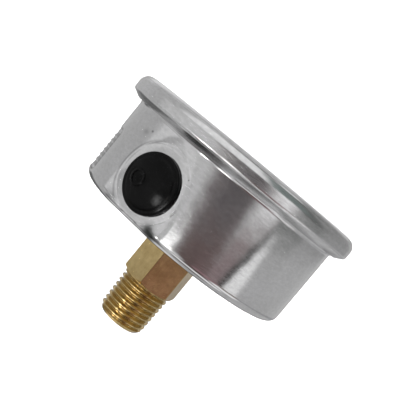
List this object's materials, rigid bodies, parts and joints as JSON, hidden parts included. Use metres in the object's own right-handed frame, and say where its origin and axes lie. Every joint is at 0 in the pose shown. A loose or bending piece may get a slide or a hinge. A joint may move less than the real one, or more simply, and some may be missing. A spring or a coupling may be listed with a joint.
{
  "type": "pressure gauge",
  "caption": "Round dial pressure gauge with a crimped-bezel metal case, rubber fill plug, curved pressure tube, geared pointer movement and a threaded brass stem at the centre of its back.",
  "frame": {"origin": "centre of the thread's open end face, where the pressure enters", "axes": "+Y out of the case along the stem, so the dial faces -Y; +Z towards 12 o'clock and the fill plug; +X to the right of the dial"},
  "size_m": [0.0682, 0.0535, 0.0682],
  "materials": {
    "brushed_case": "drawn stainless steel sheet, satin, with fine lines round the barrel",
    "polished_bezel": "spun stainless steel, semi-bright, rolled edges",
    "window": "clear polished instrument window",
    "seal_rubber": "matt black moulded rubber",
    "plug_rubber": "smooth black moulded rubber with a soft sheen",
    "stem_brass": "machined brass bar, lightly tarnished",
    "inner_brass": "machined brass",
    "tube_bronze": "drawn phosphor bronze, dull",
    "movement_brass": "stamped brass sheet, fine grained",
    "spring_bronze": "rolled bronze strip",
    "pin_steel": "turned steel",
    "black_metal": "black oxide",
    "dial_white": "matt white printed aluminium",
    "pointer_black": "matt black enamel"
  },
  "bodies": {
    "root": {"case": "brushed_case", "bezel_ring": "polished_bezel", "lens": "window", "lens_gasket": "seal_rubber", "stem": "stem_brass", "stem_oring": "seal_rubber", "stem_locknut": "inner_brass", "restrictor_screw": "inner_brass", "tube_block": "inner_brass", "passage_plug": "inner_brass", "bourdon_tube": "tube_bronze", "hairspring": "spring_bronze", "hairspring_stud": "movement_brass", "base_plate": "movement_brass", "top_plate": "movement_brass", "pillars": "movement_brass", "plate_screws": "pin_steel", "movement_screws": "pin_steel", "dial": "dial_white", "dial_posts": "movement_brass", "dial_screws": "black_metal", "stop_pin": "pin_steel"},
    "tube_tip": {"tube_tip": "inner_brass", "tip_pin": "pin_steel"},
    "link": {"link": "movement_brass"},
    "sector": {"sector_gear": "movement_brass", "sector_arbor": "pin_steel", "tail_pin": "pin_steel"},
    "pointer_staff": {"pinion_staff": "pin_steel", "hairspring_collet": "movement_brass", "pointer": "pointer_black", "pointer_hub": "pointer_black"},
    "fill_plug": {"fill_plug": "plug_rubber"}
  },
  "joints": [
    {"name": "sector_swing", "type": "hinge", "parent": "root", "child": "sector", "pos_m": [0.0097, -0.04, -0.01335], "axis": [0, -1, 0], "range_deg": [0, 27]},
    {"name": "pointer_spin", "type": "hinge", "parent": "root", "child": "pointer_staff", "pos_m": [0, -0.04, 0], "axis": [0, 1, 0], "range_deg": [0, 270], "deforming": ["hairspring"]},
    {"name": "tube_tip_flex", "type": "hinge", "parent": "root", "child": "tube_tip", "pos_m": [-0.00326, -0.0333, 0.00402], "axis": [0, -1, 0], "range_deg": [0, 4.5], "deforming": ["bourdon_tube"]},
    {"name": "link_swing", "type": "hinge", "parent": "tube_tip", "child": "link", "pos_m": [0.0194, -0.0409, -0.0062], "axis": [0, -1, 0], "range_deg": [-6.5, 0]},
    {"name": "plug_pull", "type": "slide", "parent": "root", "child": "fill_plug", "axis": [0, 0.0785, 0.9969], "range_m": [0, 0.015]}
  ],
  "couplings": [
    {"joint": "pointer_spin", "follows": "sector_swing", "ratio": 10},
    {"joint": "tube_tip_flex", "follows": "sector_swing", "ratio": 0.16667},
    {"joint": "link_swing", "follows": "sector_swing", "ratio": -0.24}
  ]
}
